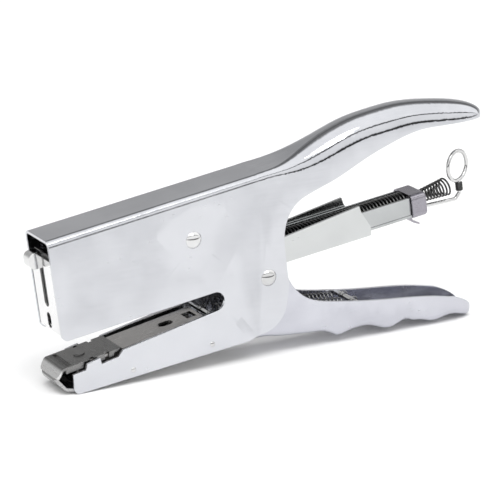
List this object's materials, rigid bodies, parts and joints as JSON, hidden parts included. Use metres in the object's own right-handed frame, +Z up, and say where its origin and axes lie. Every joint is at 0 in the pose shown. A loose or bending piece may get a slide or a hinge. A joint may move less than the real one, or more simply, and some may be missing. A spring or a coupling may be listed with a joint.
{
  "type": "plier stapler",
  "caption": "All-metal hand stapler of the plier kind, with a squeezed lower handle, a tilting magazine and a pull-out loader with a finger ring.",
  "frame": {"origin": "centre of the bounding box in X and Y, at its lowest point, on the surface that the tool stands on", "axes": "+Z up, +X from the jaws to the handles, +Y across the tool's width"},
  "size_m": [0.209, 0.0244, 0.0974],
  "materials": {
    "plated_sheet": "bright nickel-chrome plating, slightly satin on the flat sides",
    "bare_steel": "plain rolled steel",
    "anvil_steel": "plain grey hardened steel, worn where staples close",
    "jaw_steel": "warm grey rolled steel",
    "magazine_sheet": "bright rolled sheet",
    "clip_sheet": "passivated sheet with a faint violet tint",
    "spring_wire": "drawn spring wire, lightly oiled",
    "staple_wire": "galvanised wire"
  },
  "bodies": {
    "body": {"body_shell": "plated_sheet", "jaw_channel": "bare_steel", "anvil_carrier": "jaw_steel", "anvil_cap": "anvil_steel", "anvil_rivet": "anvil_steel", "jaw_rivets": "plated_sheet", "pivot_rivet": "plated_sheet", "stop_rivet": "plated_sheet", "spring_anchor_front": "bare_steel", "return_springs": "spring_wire"},
    "lever": {"lever": "plated_sheet", "drive_pin": "bare_steel", "spring_anchor_rear": "bare_steel"},
    "magazine": {"magazine_channel": "magazine_sheet", "front_plate": "bare_steel", "staple_sticks": "staple_wire"},
    "driver": {"driver_blade": "bare_steel", "driver_lug": "plated_sheet"},
    "loader": {"loader_channel": "magazine_sheet", "end_clip": "clip_sheet", "latch_hook": "clip_sheet", "guide_rod": "bare_steel", "pull_wire": "plated_sheet", "stem_coil": "spring_wire", "tail_spring": "spring_wire", "feed_spring": "spring_wire"},
    "follower": {"follower": "magazine_sheet"}
  },
  "joints": [
    {"name": "lever_squeeze", "type": "hinge", "parent": "body", "child": "lever", "pos_m": [-0.0016, 0, 0.0344], "axis": [0, -1, 0], "range_deg": [0, 13.5], "stiffness_Nm_per_rad": 3, "springref_deg": -6.88, "deforming": ["return_springs"]},
    {"name": "magazine_tilt", "type": "hinge", "parent": "body", "child": "magazine", "pos_m": [-0.0016, 0, 0.0344], "axis": [0, -1, 0], "range_deg": [0, 8.25]},
    {"name": "driver_stroke", "type": "slide", "parent": "magazine", "child": "driver", "axis": [0.1323, 0, -0.9912], "range_m": [0, 0.008]},
    {"name": "loader_pull", "type": "slide", "parent": "magazine", "child": "loader", "axis": [0.9912, 0, 0.1323], "range_m": [0, 0.06]},
    {"name": "follower_feed", "type": "slide", "parent": "loader", "child": "follower", "axis": [0.9912, 0, 0.1323], "range_m": [0, 0.03], "stiffness_N_per_m": 60, "springref_m": -0.03, "deforming": ["feed_spring"]}
  ],
  "couplings": [
    {"joint": "magazine_tilt", "follows": "lever_squeeze", "ratio": 0.6074},
    {"joint": "driver_stroke", "follows": "lever_squeeze", "m_per_rad": 0.03366}
  ]
}
